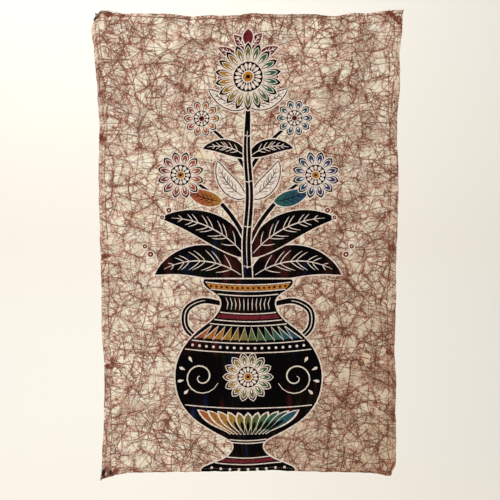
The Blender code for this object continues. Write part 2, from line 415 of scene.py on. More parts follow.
def bandFill(low, high, inset=4):
    shares = np.linspace(-1, 1, 15)
    back = [onVase(share, high, inset) for share in shares[::-1]]
    return [onVase(share, low, inset) for share in shares] + back


def bandDots(dye, up, count, radius, reach=0.94):
    for share in np.linspace(-reach, reach, count):
        paint(dye, disc(onVase(share, up, 6), radius))


def drawVase():
    pen = vase["penLine"]
    handle = smoothLine(vase["handle"])
    bothWaxed("blackDye", brushLine(handle, 13, 9, 8), 2.3)
    for flip in (1, -1):
        paint("wax", brushLine(handle[6:-6] * (flip, 1), pen, 1, 1))
    side = smoothLine([(half, up) for up, half in vase["profile"]], steps=3)
    waxed("blackDye", np.concatenate([side, (side * (-1, 1))[::-1]]), 2.6)
    # lip and neck
    paint("ochreDye", bandFill(*vase["lipBand"], 5))
    bandDots("blackDye", 383, 15, 2.4, 0.93)
    paint("maroonDye", bandFill(*vase["neckBand"], 6))
    for share in np.linspace(-0.85, 0.85, vase["neckStrokes"]):
        paint("wax", brushLine([onVase(share, up) for up in (360, 348, 336)], pen, 0.8, 0.8))
    # shoulder: dyed teeth under a zigzag
    teeth = vase["teeth"]
    for number in range(teeth):
        low, high = -1 + 2 * number / teeth, -1 + 2 * (number + 1) / teeth
        paint("paintedDye", [onVase(low, 278, 8), onVase(high, 278, 8), onVase((low + high) / 2, 301, 8)])
    zigzag = [onVase(-1 + number / teeth, 303 if number % 2 else 276, 6) for number in range(2 * teeth + 1)]
    paint("wax", brushLine(zigzag, pen, pen, pen))
    bandDots("wax", 263, 17, 2.7)
    # belly: a rosette between two scrolls
    drawFlower(vase["rosette"], vase["rosetteSize"], vase["rosettePetals"], 0, "ochreDye")
    middle, size = vase["scroll"], vase["scrollSize"]
    scroll = np.array([toward(middle, vase["scrollFrom"] + vase["scrollTurn"] * t, size * (1 - t) ** 0.9 + 3)
                       for t in np.linspace(0, 1, 27)])
    for flip in (1, -1):
        paint("wax", brushLine(scroll * (flip, 1), 3.0, 1.2, 1.2))
        for angle in vase["dropAngles"]:
            drop = aimed(petalShape(13, 6), angle, toward(middle, angle, size + 2))
            paint("wax", drop * (flip, 1))
    # upright petals above the foot
    for share in np.linspace(-0.88, 0.88, vase["gadroons"]):
        top, low = onVase(share, 131, 8), onVase(share * 0.74, 80, 10)
        reach = math.dist(top, low)
        angle = math.degrees(math.atan2(top[1] - low[1], top[0] - low[0]))
        paint("wax", aimed(petalShape(reach, 19), angle, low))
        paint("paintedDye", aimed(petalShape(reach - 5, 14), angle, (low[0], low[1] + 1)))
        paint("blackDye", aimed(petalShape(reach * 0.55, 6), angle, (low[0], low[1] + 2)))
    # foot
    paint("maroonDye", bandFill(*vase["footBand"], 3))
    bandDots("wax", 9, 9, 2.7, 0.88)
    for up in vase["rings"]:
        paint("wax", bandLine(up, pen, 4 if up > 100 else 2))


plant = {
    "trunk": [(0, 392), (-3, 470), (3, 560), (-2, 650), (0, 730)],
    "joints": (420, 500, 590, 680),   # heights of the pale lines across the trunk
    "stems": [  # root, angle, length, bend, points along it, width, width at the tip
        ((3, 470), 66, 158, -34, 19, 8, 4.8), ((2, 610), 62, 118, -26, 15, 7, 4.2),
    ],
    "berries": [(196, 446, 5.5), (207, 462, 4.5), (158, 534, 5.0), (172, 520, 4.0)],   # across, up, radius
    "leavesBehind": 2,   # how many rows of leaves are painted before the stems
}


def drawPlant():
    for row in leaves[:plant["leavesBehind"]]:
        drawLeaf(*row)
    for root, angle, length, bend, points, width, tipWidth in plant["stems"]:
        stem = curvedPath(root, angle, length, bend, points)
        bothWaxed("blackDye", brushLine(stem, width, width, tipWidth))
    for row in leaves[plant["leavesBehind"]:]:
        drawLeaf(*row)
    trunk = smoothLine(plant["trunk"], steps=6)
    waxed("blackDye", brushLine(trunk, 15, 18, 9), 2.3)
    paint("wax", brushLine(trunk[2:-3], 2.2, 1, 1))
    for up in plant["joints"]:
        paint("wax", brushLine([(-9, up + 3), (0, up), (9, up + 3)], 2.2, 1, 1))
    waxed("maroonDye", aimed(petalShape(40, 20), 90, (0, 848)), 2.2)
    for row in flowers:
        drawFlower(*row)
    for x, y, radius in plant["berries"]:
        for flip in (1, -1):
            waxed("maroonDye", disc((flip * x, y), radius), 1.9)
            paint("wax", disc((flip * x, y), radius * 0.35))


# Marks of pins and fingers: across, up, half width, half height, how strong, and the attribute that holds it.
# The rust ones lie along the hems and at the corners, the soot ones at the corners alone.
stains = [
    (-294, 677, 6.0, 7.5, 1.0, "rust"), (-287, 673, 7.0, 5.4, 0.9, "rust"),
    (-288, 442, 6.4, 5.2, 1.0, "rust"), (-295, 438, 4.0, 4.0, 0.9, "rust"),
    (-281, 443, 4.4, 3.6, 0.8, "rust"),
    (-290, 221, 5.6, 4.8, 1.0, "rust"), (-283, 217, 5.6, 3.0, 0.8, "rust"),
    (-274, 207, 5.0, 2.2, 0.6, "rust"),
    (285, 666, 3.6, 5.4, 0.85, "rust"), (280, 672, 3.4, 2.4, 0.7, "rust"), (291, 664, 2.0, 6.0, 0.6, "rust"),
    (287, 459, 5.4, 5.2, 0.80, "rust"), (287, 464, 4.6, 2.0, 1.0, "rust"), (282, 459, 2.0, 4.6, 1.0, "rust"),
    (291, 457, 2.1, 4.6, 1.0, "rust"), (286, 454, 4.4, 2.0, 1.0, "rust"),
    (285, 249, 5.4, 5.4, 0.85, "rust"), (285, 254, 4.6, 2.0, 1.0, "rust"), (281, 249, 2.0, 4.6, 1.0, "rust"),
    (289, 247, 2.1, 4.2, 1.0, "rust"),
    (1, 911, 6.2, 5.0, 0.95, "rust"), (17, 909, 5.0, 3.4, 0.8, "rust"), (24, 914, 8.0, 2.4, 0.5, "rust"),
    (-3, 902, 2.2, 3.0, 0.6, "rust"),
    (-271, 912, 8.0, 4.2, 1.0, "rust"), (-289, 906, 4, 6, 0.7, "rust"), (-245, 913, 6.5, 3.4, 0.85, "rust"),
    (-262, 878, 9, 4.2, 0.6, "rust"), (-280, 880, 4, 3.0, 0.5, "rust"),
    (270, 913, 6.5, 5.0, 1.0, "rust"), (277, 908, 5.5, 4.6, 1.0, "rust"), (282, 902, 3.4, 4.0, 1.0, "rust"),
    (289, 899, 4.0, 6.0, 0.55, "rust"), (285.5, 900, 2.6, 6.0, 1.0, "rust"),
    (290, 893, 4.4, 2.8, 1.0, "rust"),
    (293, 899, 1.6, 4.6, 0.9, "rust"), (289, 905.5, 3.4, 1.6, 0.9, "rust"), (294, 886, 1.8, 4.6, 0.8, "rust"),
    (268, 10, 6, 8, 0.75, "rust"), (277, 6, 6, 4, 0.7, "rust"), (291, 14, 2.2, 10, 0.8, "rust"),
    (-267, 9, 7, 6.5, 0.85, "rust"),
    (-295.5, 914, 2.4, 3.0, 1.0, "soot"), (-293, 916.5, 2.6, 1.8, 1.0, "soot"),
    (-296, 908, 1.3, 5.0, 0.9, "soot"),
    (-296.5, 900, 0.9, 6.0, 0.7, "soot"),
    (-292, 13, 3.8, 7.0, 1.0, "soot"), (-289, 5, 3.0, 3.0, 0.8, "soot"), (-278, 10, 2.4, 5.8, 1.0, "soot"),
    (-275, 6, 3.2, 3.0, 0.9, "soot"), (291, 8, 2.2, 3.6, 0.6, "soot"),
    (-205, 13, 3.0, 1.8, 0.7, "rust"), (-212, 8, 2.2, 1.8, 0.6, "rust"),
]


def stations(length, hem, quarter):
    # grid lines along one way of the cloth, closer together where it turns under
    turns = np.array([-hem, -hem * 0.72, -hem * 0.45, -2 * quarter, -quarter, -quarter / 2])
    near = np.concatenate([turns, [0], -turns[::-1]])
    inner = np.linspace(hem, length - hem, round((length - 2 * hem) / cloth["gridStep"]) + 1)[1:-1]
    return np.concatenate([near, inner, length - near[::-1]])


def flatPoints():
    # the points of the flat cloth, before the picture is drawn in
    quarter = math.pi / 2 * cloth["foldRadius"]
    across = stations(cloth["width"], cloth["sideHem"], quarter) - cloth["width"] / 2
    up = stations(cloth["height"], cloth["endHem"], 3 * quarter)
    grid = np.stack(np.meshgrid(across, up), -1).reshape(-1, 2)
    rings = [[(x + share * wide * math.cos(turn), y + share * high * math.sin(turn))
              for share in (0.3, 0.6, 0.85, 1.1, 1.4, 1.9) for turn in np.linspace(0, 2 * math.pi, 15)[:-1]]
             for x, y, wide, high, strength, kind in stains]
    rings = np.concatenate(rings)
    x, y = rings[:, 0], rings[:, 1]
    return grid, rings[(abs(x) < cloth["width"] / 2 - 2) & (y > 2) & (y < cloth["height"] - 2)]


def keepClear(points, others, gap):
    # the points that are no nearer than gap to any of the others
    tree = KDTree(len(others))
    for number, (x, y) in enumerate(others):
        tree.insert((x, y, 0), number)
    tree.balance()
    return np.array([point for point in points if tree.find((point[0], point[1], 0))[2] > gap])


def insideOutline(places, outline):
    # which places lie inside a closed outline, by the crossings of a level ray
    inside = np.zeros(len(places), bool)
    x, y = places[:, 0], places[:, 1]
    for (x0, y0), (x1, y1) in zip(outline, np.roll(outline, -1, 0)):
        if y0 != y1:
            crosses = (y0 > y) != (y1 > y)
            inside ^= crosses & (x < (x1 - x0) * (y - y0) / (y1 - y0) + x0)
    return inside


dyes = ["ground", "wax", "blackDye", "paintedDye", "maroonDye", "ochreDye"]


def dyedTriangles():
    # the flat cloth cut along every outline of the picture, and the dye of each triangle
    hem = cloth["endHem"]
    outlines = [(dyes.index(dye), np.clip(outline, (-999, -hem), (999, 999))) for dye, outline in painting]
    grid, rings = flatPoints()
    drawn = np.concatenate([outline for dye, outline in outlines])
    border = grid[(abs(grid[:, 0]) > cloth["width"] / 2) | (grid[:, 1] < 0) | (grid[:, 1] > cloth["height"])]
    rings = keepClear(rings, drawn, cloth["ringClear"])
    loose = keepClear(grid, np.concatenate([drawn, rings]), cloth["gridClear"])
    points = np.concatenate([drawn, border, rings, loose])
    lines = []
    first = 0
    for dye, outline in outlines:
        count = len(outline)
        lines += [(first + number, first + (number + 1) % count) for number in range(count)]
        first += count
    flat = [Vector(point) for point in points]
    cut = delaunay_2d_cdt(flat, lines, [], 0, 1e-4, False)
    places = np.array([(point.x, point.y) for point in cut[0]])
    triangles = np.array(cut[2])
    middles = places[triangles].mean(1)
    dyeOf = np.zeros(len(triangles), int)
    for dye, outline in outlines:
        low, high = outline.min(0), outline.max(0)
        near = np.flatnonzero(((middles > low) & (middles < high)).all(1))
        dyeOf[near[insideOutline(middles[near], outline)]] = dye
    return places, triangles, dyeOf


def stainAmount(places, kind):
    total = np.zeros(len(places))
    for x, y, wide, high, strength, itsKind in stains:
        if itsKind == kind:
            distance = np.hypot((places[:, 0] - x) / wide, (places[:, 1] - y) / high)
            total = np.maximum(total, strength * ease(1.0 - (distance - 0.45) / 1.3))
    return total


def meshObject(name, points, faces):
    # a smooth-shaded object in the scene, from its points and faces
    mesh = bpy.data.meshes.new(name)
    mesh.from_pydata(points, [], faces)
    mesh.polygons.foreach_set("use_smooth", [True] * len(faces))
    made = bpy.data.objects.new(name, mesh)
    bpy.context.scene.collection.objects.link(made)
    return made


def makePanel():
    # the whole cloth with its hems turned under, one thin skin that Solidify makes as thick as the cotton
    places, triangles, dyeOf = dyedTriangles()
    panel = meshObject("batik_panel", onCloth(places[:, 0], places[:, 1]).tolist(), triangles.tolist())
    mesh = panel.data
    spot = mesh.attributes.new("clothPlace", "FLOAT_VECTOR", "POINT")
    flatPlaces = np.column_stack([places, np.zeros(len(places))])
    spot.data.foreach_set("vector", flatPlaces.astype(np.float32).ravel())
    for kind in ("rust", "soot"):
        amount = mesh.attributes.new(kind, "FLOAT", "POINT")
        amount.data.foreach_set("value", stainAmount(places, kind).astype(np.float32))
    mesh.polygons.foreach_set("material_index", dyeOf.astype(np.int32))
    mesh.update()
    thick = panel.modifiers.new("cottonThickness", "SOLIDIFY")
    thick.thickness = cloth["thickness"] * mm
    thick.offset = 0
    print(f"Panel: {len(painting)} shapes, {len(places)} points, {len(triangles)} triangles")
    return panel


def tubeParts(path, radii, sides, start):
    # points and faces of a thin closed tube round a path
    path = np.asarray(path, float)
    ahead = np.gradient(path, axis=0)
    ahead /= np.linalg.norm(ahead, axis=1, keepdims=True)
    out = np.array([0.0, -1.0, 0.0])
    side = np.cross(ahead, out)
    side /= np.maximum(np.linalg.norm(side, axis=1, keepdims=True), 1e-9)
    top = np.cross(side, ahead)
    points = []
    for at in range(len(path)):
        for number in range(sides):
            turn = 2 * math.pi * number / sides
            points.append(path[at] + radii[at] * (side[at] * math.cos(turn) + top[at] * math.sin(turn)))
    faces = [tuple(start + number for number in range(sides))[::-1]]
    for at in range(len(path) - 1):
        for number in range(sides):
            a, b = start + at * sides + number, start + at * sides + (number + 1) % sides
            faces.append((a, b, b + sides, a + sides))
    faces.append(tuple(start + (len(path) - 1) * sides + number for number in range(sides)))
    return points, faces


def makeTubes(name, paths, sides):
    # many small tubes in one mesh: each path comes with its radii, all in metres
    points, faces = [], []
    for path, radii in paths:
        morePoints, moreFaces = tubeParts(path, radii, sides, len(points))
        points += morePoints
        faces += moreFaces
    tubes = meshObject(name, [tuple(point) for point in points], faces)
    tubes.data.update()
    print(f"{name}: {len(paths)} pieces, {len(faces)} faces")
    return tubes


stitching = {
    "length": 2.3, "pitch": 3.3, "threadRadius": 0.19,
    "sideIn": 11.6, "endIn": 6.0,   # from the cloth's edge
    "wander": 0.35,                 # how unevenly the hem was sewn
}


def makeStitches():
    # running stitches all round, standing on the front and on the back of the hem
    rng = np.random.default_rng(12)
    halfWidth, height = cloth["width"] / 2, cloth["height"]
    sideIn, endIn = stitching["sideIn"], stitching["endIn"]
    rows = [((-halfWidth + sideIn, 3), (-halfWidth + sideIn, height - 3)),
            ((halfWidth - sideIn, 3), (halfWidth - sideIn, height - 3)),
            ((-halfWidth + 3, endIn), (halfWidth - 3, endIn)),
            ((-halfWidth + 3, height - endIn), (halfWidth - 3, height - endIn))]
    shares = np.array([0.0, 0.22, 0.78, 1.0])
    radii = stitching["threadRadius"] * mm * np.array([0.7, 1, 1, 0.7])
    sink = (cloth["thickness"] / 2 + np.array([-0.12, 0.12, 0.12, -0.12])) * mm
    backLayer = 2 * cloth["foldRadius"] * mm
    paths = []
    for start, end in rows:
        start, end = np.array(start, float), np.array(end, float)
        length = np.linalg.norm(end - start)
        for number in range(int(length / stitching["pitch"])):
            for face in (0, 1):
                at = (number + 0.5 * face) * stitching["pitch"] + shares * stitching["length"]
                spots = start + (end - start) / length * at[:, None] + rng.normal(0, stitching["wander"], 2)
                path = onCloth(spots[:, 0], spots[:, 1])
                path[:, 1] += backLayer + sink if face else -sink
                paths.append((path, radii))
    return makeTubes("hem_stitches", paths, 5)


# Loose dark threads where the hem frays: half their thickness, then points as across, up and mm in front
frayedThreads = [
    (1.10, [(-295, 911, 0), (-298, 917, 0.6), (-301.6, 923.5, 0.9)]),
    (1.00, [(-293, 914, 0), (-297, 919, 0.6), (-301.2, 922.8, 0.8)]),
    (0.90, [(-296, 908, 0), (-299, 915, 0.5), (-301.6, 921, 0.8)]),
    (0.80, [(-291, 916, 0), (-296, 919.5, 0.5), (-300.8, 922, 0.8)]),
    (0.15, [(-286, 912, 0), (-284, 916, 0.6), (-283, 922, 0.8), (-284, 929, 1.2), (-287, 935, 1.6)]),
    (0.28, [(-284, 913, 0), (-281, 917, 0.5), (-276, 920, 0.7), (-272, 919, 0.6)]),
    (0.28, [(-278, 915, 0), (-268, 918.6, 0.5), (-259, 918.9, 0.5), (-250, 917, 0.3)]),
    (0.75, [(-293, 6, 0), (-295, 1, 0.5), (-296.0, -3.4, 1.0)]),
    (0.60, [(-290, 4, 0), (-293, 0, 0.5), (-295.6, -2.8, 0.8)]),
    (0.22, [(268, 915, 0), (270, 918.6, 0.5), (273, 919.6, 0.5)]),
    (0.22, [(294, 913, 0), (297, 917, 0.5), (298.4, 918.6, 0.6)]),
]


def makeFrayedThreads():
    rng = np.random.default_rng(5)
    paths = []
    for radius, points in frayedThreads:
        for copy in range(2):
            line = smoothLine(np.array(points) + rng.normal(0, 0.45, (len(points), 3)) * (1, 1, 0.3), 5)
            edge = np.clip(line[:, :2], (-cloth["width"] / 2, 0), (cloth["width"] / 2, cloth["height"]))
            path = onCloth(edge[:, 0], edge[:, 1])
            path += np.stack([line[:, 0] - edge[:, 0], -line[:, 2] - 0.25, line[:, 1] - edge[:, 1]], 1) * mm
            paths.append((path, np.linspace(radius, 0.35 * radius, len(path)) * mm))
    return makeTubes("frayed_threads", paths, 6)


def linearColour(hexCode):
    # sRGB hex to Blender's linear values
    parts = [int(hexCode[at:at + 2], 16) / 255 for at in (0, 2, 4)]
    return [part / 12.92 if part <= 0.04045 else ((part + 0.055) / 1.055) ** 2.4 for part in parts] + [1.0]


def addNode(tree, kind, feeds=(), **settings):
    # one node with its settings; feeds are sockets, nodes or fixed values for its inputs, by number or name
    node = tree.nodes.new("ShaderNode" + kind)
    for name, value in settings.items():
        setattr(node, name, value)
    for name, feed in feeds.items() if isinstance(feeds, dict) else enumerate(feeds):
        source = feed.outputs[0] if isinstance(feed, bpy.types.Node) else feed
        if isinstance(source, bpy.types.NodeSocket):
            tree.links.new(source, node.inputs[name])
        else:
            node.inputs[name].default_value = source
    return node


smooth = {"interpolation_type": "SMOOTHSTEP"}   # for marks with soft edges
flatNoise = {"noise_dimensions": "2D"}
flatCells = {"voronoi_dimensions": "2D"}
oddSteps = {"voronoi_dimensions": "1D"}         # for lines side by side at uneven spacing
aboutZ = {"rotation_type": "Z_AXIS"}


def blotches(tree, place, size, seed, low, high, detail=2.0):
    # soft-edged patches about size mm across, 0 outside them and 1 inside
    moved = addNode(tree, "VectorMath", [place, (seed, seed * 1.7, 0)], operation="ADD")
    noise = addNode(tree, "TexNoise", {"Vector": moved, "Scale": 1 / size, "Detail": detail,
                                       "Roughness": 0.55}, **flatNoise)
    return addNode(tree, "MapRange", [noise, low, high], **smooth)


def wandering(tree, place, size, reach, seed):
    # the place pushed up to reach mm aside by soft noise, so that straight cracks wander
    moved = addNode(tree, "VectorMath", [place, (seed, seed * 1.7, 0)], operation="ADD")
    push = addNode(tree, "TexNoise", {"Vector": moved, "Scale": 1 / size, "Detail": 1.0}, **flatNoise)
    centred = addNode(tree, "VectorMath", [push.outputs["Color"], (0.5, 0.5, 0.5)], operation="SUBTRACT")
    scaled = addNode(tree, "VectorMath", {0: centred, "Scale": 2.0 * reach}, operation="SCALE")
    return addNode(tree, "VectorMath", [place, scaled], operation="ADD")


def product(tree, first, *others):
    for other in others:
        first = addNode(tree, "Math", [first, other], operation="MULTIPLY")
    return first


def laidOver(tree, values):
    # marks laid over marks: together never more than full strength
    clear = None
    for value in values:
        left = addNode(tree, "Math", [1.0, value], operation="SUBTRACT")
        clear = left if clear is None else product(tree, clear, left)
    return addNode(tree, "Math", [1.0, clear], operation="SUBTRACT")


def dyed(tree, colour, layers):
    # dyes laid over a colour one after another, each with how much of it shows
    for amount, hexCode in layers:
        colour = addNode(tree, "MixRGB", [amount, colour, linearColour(hexCode)])
    return colour


patches = {  # mm across, seed, the noise where they start and where they are full, and its detail if not 2
    "mainCells": (22.0, 3.0, 0.42, 0.56), "smallCells": (24.0, 17.0, 0.46, 0.55),
    "busy": (90.0, 13.0, 0.40, 0.54, 3.0),
    "crumpled": (44.0, 21.0, 0.47, 0.62, 3.0), "crushed": (27.0, 51.0, 0.36, 0.56),
    "mainBands": (26.0, 103.0, 0.40, 0.64, 3.0), "smallBands": (26.0, 123.0, 0.40, 0.64, 3.0),
    "creaseBands": (13.0, 143.0, 0.38, 0.58, 3.0),
    "mainKnots": (7.0, 77.0, 0.44, 0.60), "smallKnots": (9.0, 97.0, 0.44, 0.60),
    "stained": (3.3, 31.0, 0.42, 0.56), "flecks": (2.8, 37.0, 0.50, 0.60),
    "soakedHem": (7.0, 65.0, 0.38, 0.64, 3.0), "handled": (3.0, 61.0, 0.2, 0.8, 3.0),
    "shaded": (24.0, 71.0, 0.35, 0.65), "tan": (40.0, 81.0, 0.60, 0.74),
    "creptUnderWax": (5.0, 7.0, 0.40, 0.72, 3.0), "showsThrough": (80.0, 3.0, 0.44, 0.66),
    "paintPools": (6.0, 27.0, 0.40, 0.70, 3.0), "dyePools": (7.0, 37.0, 0.40, 0.72, 3.0),
}
wanders = {  # mm from bend to bend, how far aside they push, and a seed
    "cells": (44.0, 5.5, 11.0), "sweep": (130.0, 22.0, 29.0), "tremble": (22.0, 0.7, 5.0),
    "hem": (60.0, 3.0, 41.0), "hemTremble": (9.0, 0.9, 43.0), "loose": (90.0, 7.0, 47.0),
    "bathAndShade": (120.0, 45.0, 91.0), "brushed": (18.0, 9.0, 17.0),
}

# Wax that is crumpled cracks in cells, in hairlines square to them, in long creases and in fans, and the
# last dye bath runs into it all. Sizes in mm on the cloth.
crackle = {
    "mainCell": 37.0, "mainWidth": 1.35, "mainBand": 14.0, "mainHalo": 5.2,
    "smallCell": 20.0, "smallWidth": 0.95, "smallBand": 8.0, "smallHalo": 4.68,
    "cellStretch": 1.2,   # cells are longer than wide
    "hairGap": 4.8, "hairWidth": 1.4, "hairReach": 15.0,
    "starCell": 60.0, "starRays": 14, "starWidth": 1.5, "starReach": 46.0,
    "starSets": [(1.0, 0.4, 7.3), (0.66, 2.0, 15.1)],   # share of that size, turn and seed
    "creaseGap": 26.0, "creaseWidth": 1.9, "creaseRun": 50.0, "creaseHalo": 2.6,
    "fanGap": 5.4, "fanWidth": 1.4, "fanRun": 22.0, "fanSpacings": (1.0, 1.4, 1.8),
    "netCell": 5.6, "netWidth": 1.15,
    "creaseBandGap": 80.0, "creaseBandWidth": 10.0, "creaseBandRun": 70.0,
    "strawGap": 27.0, "strawWidth": 1.55, "strawRun": 95.0,
    # where the wax cracked least: middle of the place, how far out it starts and ends, and what share is left
    "spared": [((-250.0, 540.0, 0.0), 80.0, 330.0, 0.30), ((0.0, 640.0, 0.0), 100.0, 270.0, 0.45)],
    # where it cracked most: middle of the place, how far out that starts and ends to fade, and how much
    "crushed": [((-225.0, 775.0, 0.0), 40.0, 140.0, 0.75), ((178.0, 735.0, 0.0), 10.0, 60.0, 0.45),
                ((180.0, 640.0, 0.0), 10.0, 50.0, 0.35)],
    "clean": "f3e9d3", "shaded": "e7dabf", "tan": "ecc99a",
    "bleed": "dfb299", "pinkFleck": "fbe0ca", "band": "a96c54",
    "line": "6b3a27", "fineLine": "603825", "knot": "713a29",
    "bathAndShade": "b28c5e",   # painted shade that darkens the cloth towards the right and the bottom where the light falls off, partly also what the last dye bath takes off where it soaked in most
    "bathAndShadeAcross": (-170.0, 290.0),             # none of it at the first place, all of it at the second
    "bathAndShadeUp": (900.0, 120.0, 0.03, 0.52),      # two heights, and how much of it there is at each
    "hemStretch": 17.0, "hemStretchFade": 0.18,   # the stretches in which the cracks along the hems show
}
strengths = {  # how strongly each kind of mark shows
    "mainLeast": 0.25, "creaseLeast": 0.6, "starLeast": 0.5, "stainedLeast": 0.2, "stainedMost": 0.95,
    "small": 0.9, "mainHairs": 0.9, "smallHairs": 0.85, "straw": 0.8, "fan": 0.75, "net": 0.3,
    "mainHalo": 0.85, "smallHalo": 0.6, "creaseHalo": 0.6,
    "crumpledBand": 0.2, "fleck": 0.8, "bandBleed": 0.5,
    "tan": 0.4, "bleed": 0.85, "fineLine": 0.85, "line": 0.92, "knot": 0.85, "edgeKnot": 0.3,
}
creaseSets = [  # angle in degrees, then spacing, width and strength as shares of the main creases'
    (83, 1.0, 1.0, 1.0), (-78, 1.1, 1.0, 1.0), (58, 1.1, 0.9, 1.0), (-52, 1.2, 0.9, 1.0),
    (32, 1.3, 0.9, 0.9), (-28, 1.4, 0.9, 0.9), (12, 1.6, 1.0, 0.9), (-9, 1.6, 0.9, 0.9),
]
creaseBands = [76, -66, 44, -20]   # degrees: the way the widest creases run
straws = [87, -82, 75, -68, 57]    # and the finest and longest ones


def hairlines(tree, steps, away, spread, width, longest, fade):
    # thin cracks side by side, one at each step, that end at lengths of their own; spread turns the steps
    # into the width's unit, and longest and fade are in the unit of away
    hairs = addNode(tree, "TexVoronoi", {"W": steps, "Scale": 1.0}, feature="F1", **oddSteps)
    aside = product(tree, hairs, *spread)
    hairline = addNode(tree, "MapRange", [aside, 0.18 * width, 0.55 * width, 1.0, 0.0], **smooth)
    chance = addNode(tree, "SeparateColor", [hairs.outputs["Color"]])
    beyond = addNode(tree, "Math", [away, product(tree, chance, longest)], operation="SUBTRACT")
    return product(tree, hairline, addNode(tree, "MapRange", [beyond, -fade, 1.0, 1.0, 0.0], **smooth))


def cellCracks(tree, place, kind, turn, seed):
    # cracks round cells, wider where they meet; the gap to them in mm; hairlines square to them; the cells
    cell, width = crackle[kind + "Cell"], crackle[kind + "Width"]
    turned = addNode(tree, "Mapping", {"Vector": place, "Location": (seed, -seed * 0.6, 0),
                                       "Rotation": (0, 0, math.radians(turn)),
                                       "Scale": (1 / cell, 1 / cell / crackle["cellStretch"], 1)})
    near, far = [addNode(tree, "TexVoronoi", {"Vector": turned, "Scale": 1.0}, feature=rank, **flatCells)
                 for rank in ("F1", "F2")]
    gap = product(tree, addNode(tree, "Math", [far, near], operation="SUBTRACT"), cell)
    line = addNode(tree, "MapRange", [gap, 0.25 * width, 1.9 * width, 1.0, 0.0], **smooth)
    outward = addNode(tree, "VectorMath", [far.outputs["Position"], near.outputs["Position"]],
                      operation="SUBTRACT")
    alongCrack = addNode(tree, "VectorRotate", {"Vector": outward, "Angle": math.pi / 2}, **aboutZ)
    unit = addNode(tree, "VectorMath", [alongCrack], operation="NORMALIZE")
    along = addNode(tree, "VectorMath", [turned, unit], operation="DOT_PRODUCT").outputs["Value"]
    steps = addNode(tree, "Math", [along, cell / crackle["hairGap"], seed], operation="MULTIPLY_ADD")
    longest = crackle["hairReach"] * cell / crackle["mainCell"]
    hairs = hairlines(tree, steps, gap, (), crackle["hairWidth"] / crackle["hairGap"], longest, 1.5)
    return line, gap, hairs, near


def straightCracks(tree, place, spacing, width, angle, seed, run):
    # long cracks side by side at uneven spacing, each broken into runs of its own, and the halos round them
    spun = addNode(tree, "VectorRotate", {"Vector": place, "Angle": angle}, **aboutZ)
    part = addNode(tree, "SeparateXYZ", [spun])
    across = addNode(tree, "Math", [part.outputs[0], 1 / spacing, seed], operation="MULTIPLY_ADD")
    along = product(tree, part.outputs[1], 1 / run)
    edge = addNode(tree, "TexVoronoi", {"W": across, "Scale": 1.0}, feature="DISTANCE_TO_EDGE", **oddSteps)
    share = width / spacing
    line = addNode(tree, "MapRange", [edge, 0.22 * share, 0.62 * share, 1.0, 0.0], **smooth)
    halo = addNode(tree, "MapRange", [edge, 0.0, crackle["creaseHalo"] / spacing, 1.0, 0.0], **smooth)
    spot = addNode(tree, "CombineXYZ", [across, along, 0.0])
    noise = addNode(tree, "TexNoise", {"Vector": spot, "Scale": 1.0, "Detail": 1.0}, **flatNoise)
    runs = addNode(tree, "MapRange", [noise, 0.46, 0.54], **smooth)
    return product(tree, line, runs), product(tree, halo, runs)


def starCracks(tree, place, cell, rays, width, reach, seed):
    # hairlines raying out from where the wax was pinched, each of its own length
    moved = addNode(tree, "Mapping", {"Vector": place, "Location": (seed, seed * 0.7, 0),
                                      "Scale": [1 / cell] * 3})
    pinch = addNode(tree, "TexVoronoi", {"Vector": moved, "Scale": 1.0}, feature="F1", **flatCells)
    fromPinch = addNode(tree, "VectorMath", [moved, pinch.outputs["Position"]], operation="SUBTRACT")
    arm = addNode(tree, "SeparateXYZ", [fromPinch])
    angle = addNode(tree, "Math", [arm.outputs[1], arm.outputs[0]], operation="ARCTAN2")
    apart = product(tree, addNode(tree, "SeparateColor", [pinch.outputs["Color"]]), 60.0)
    steps = addNode(tree, "Math", [angle, rays / (2 * math.pi), apart], operation="MULTIPLY_ADD")
    away = product(tree, pinch, cell)
    hairs = hairlines(tree, steps, away, (away, 2 * math.pi / rays), width, reach, 2.0)
    heart = addNode(tree, "MapRange", [away, 1.5, 6.0, 0.35, 1.0], **smooth)
    return product(tree, hairs, heart)


def aroundSpots(tree, place, spots, outside):
    # each spot's own amount in its middle, turning to the outside amount with distance
    amounts = []
    for middle, near, far, amount in spots:
        away = addNode(tree, "VectorMath", [place, middle], operation="DISTANCE").outputs["Value"]
        amounts.append(addNode(tree, "MapRange", [away, near, far, amount, outside], **smooth))
    return amounts


def creaseMarks(tree, swept, creaseShow):
    # the long creases and the halos round them
    lines, bleeds = [], []
    gap, run = crackle["creaseGap"], crackle["creaseRun"]
    for number, (turn, spacing, width, strength) in enumerate(creaseSets):
        crease, halo = straightCracks(tree, swept, gap * spacing, crackle["creaseWidth"] * width,
                                      math.radians(turn), 3.1 + 7.3 * number, run * spacing)
        lines.append(product(tree, crease, creaseShow, strength))
        bleeds.append(product(tree, halo, creaseShow, strengths["creaseHalo"]))
    return lines, bleeds


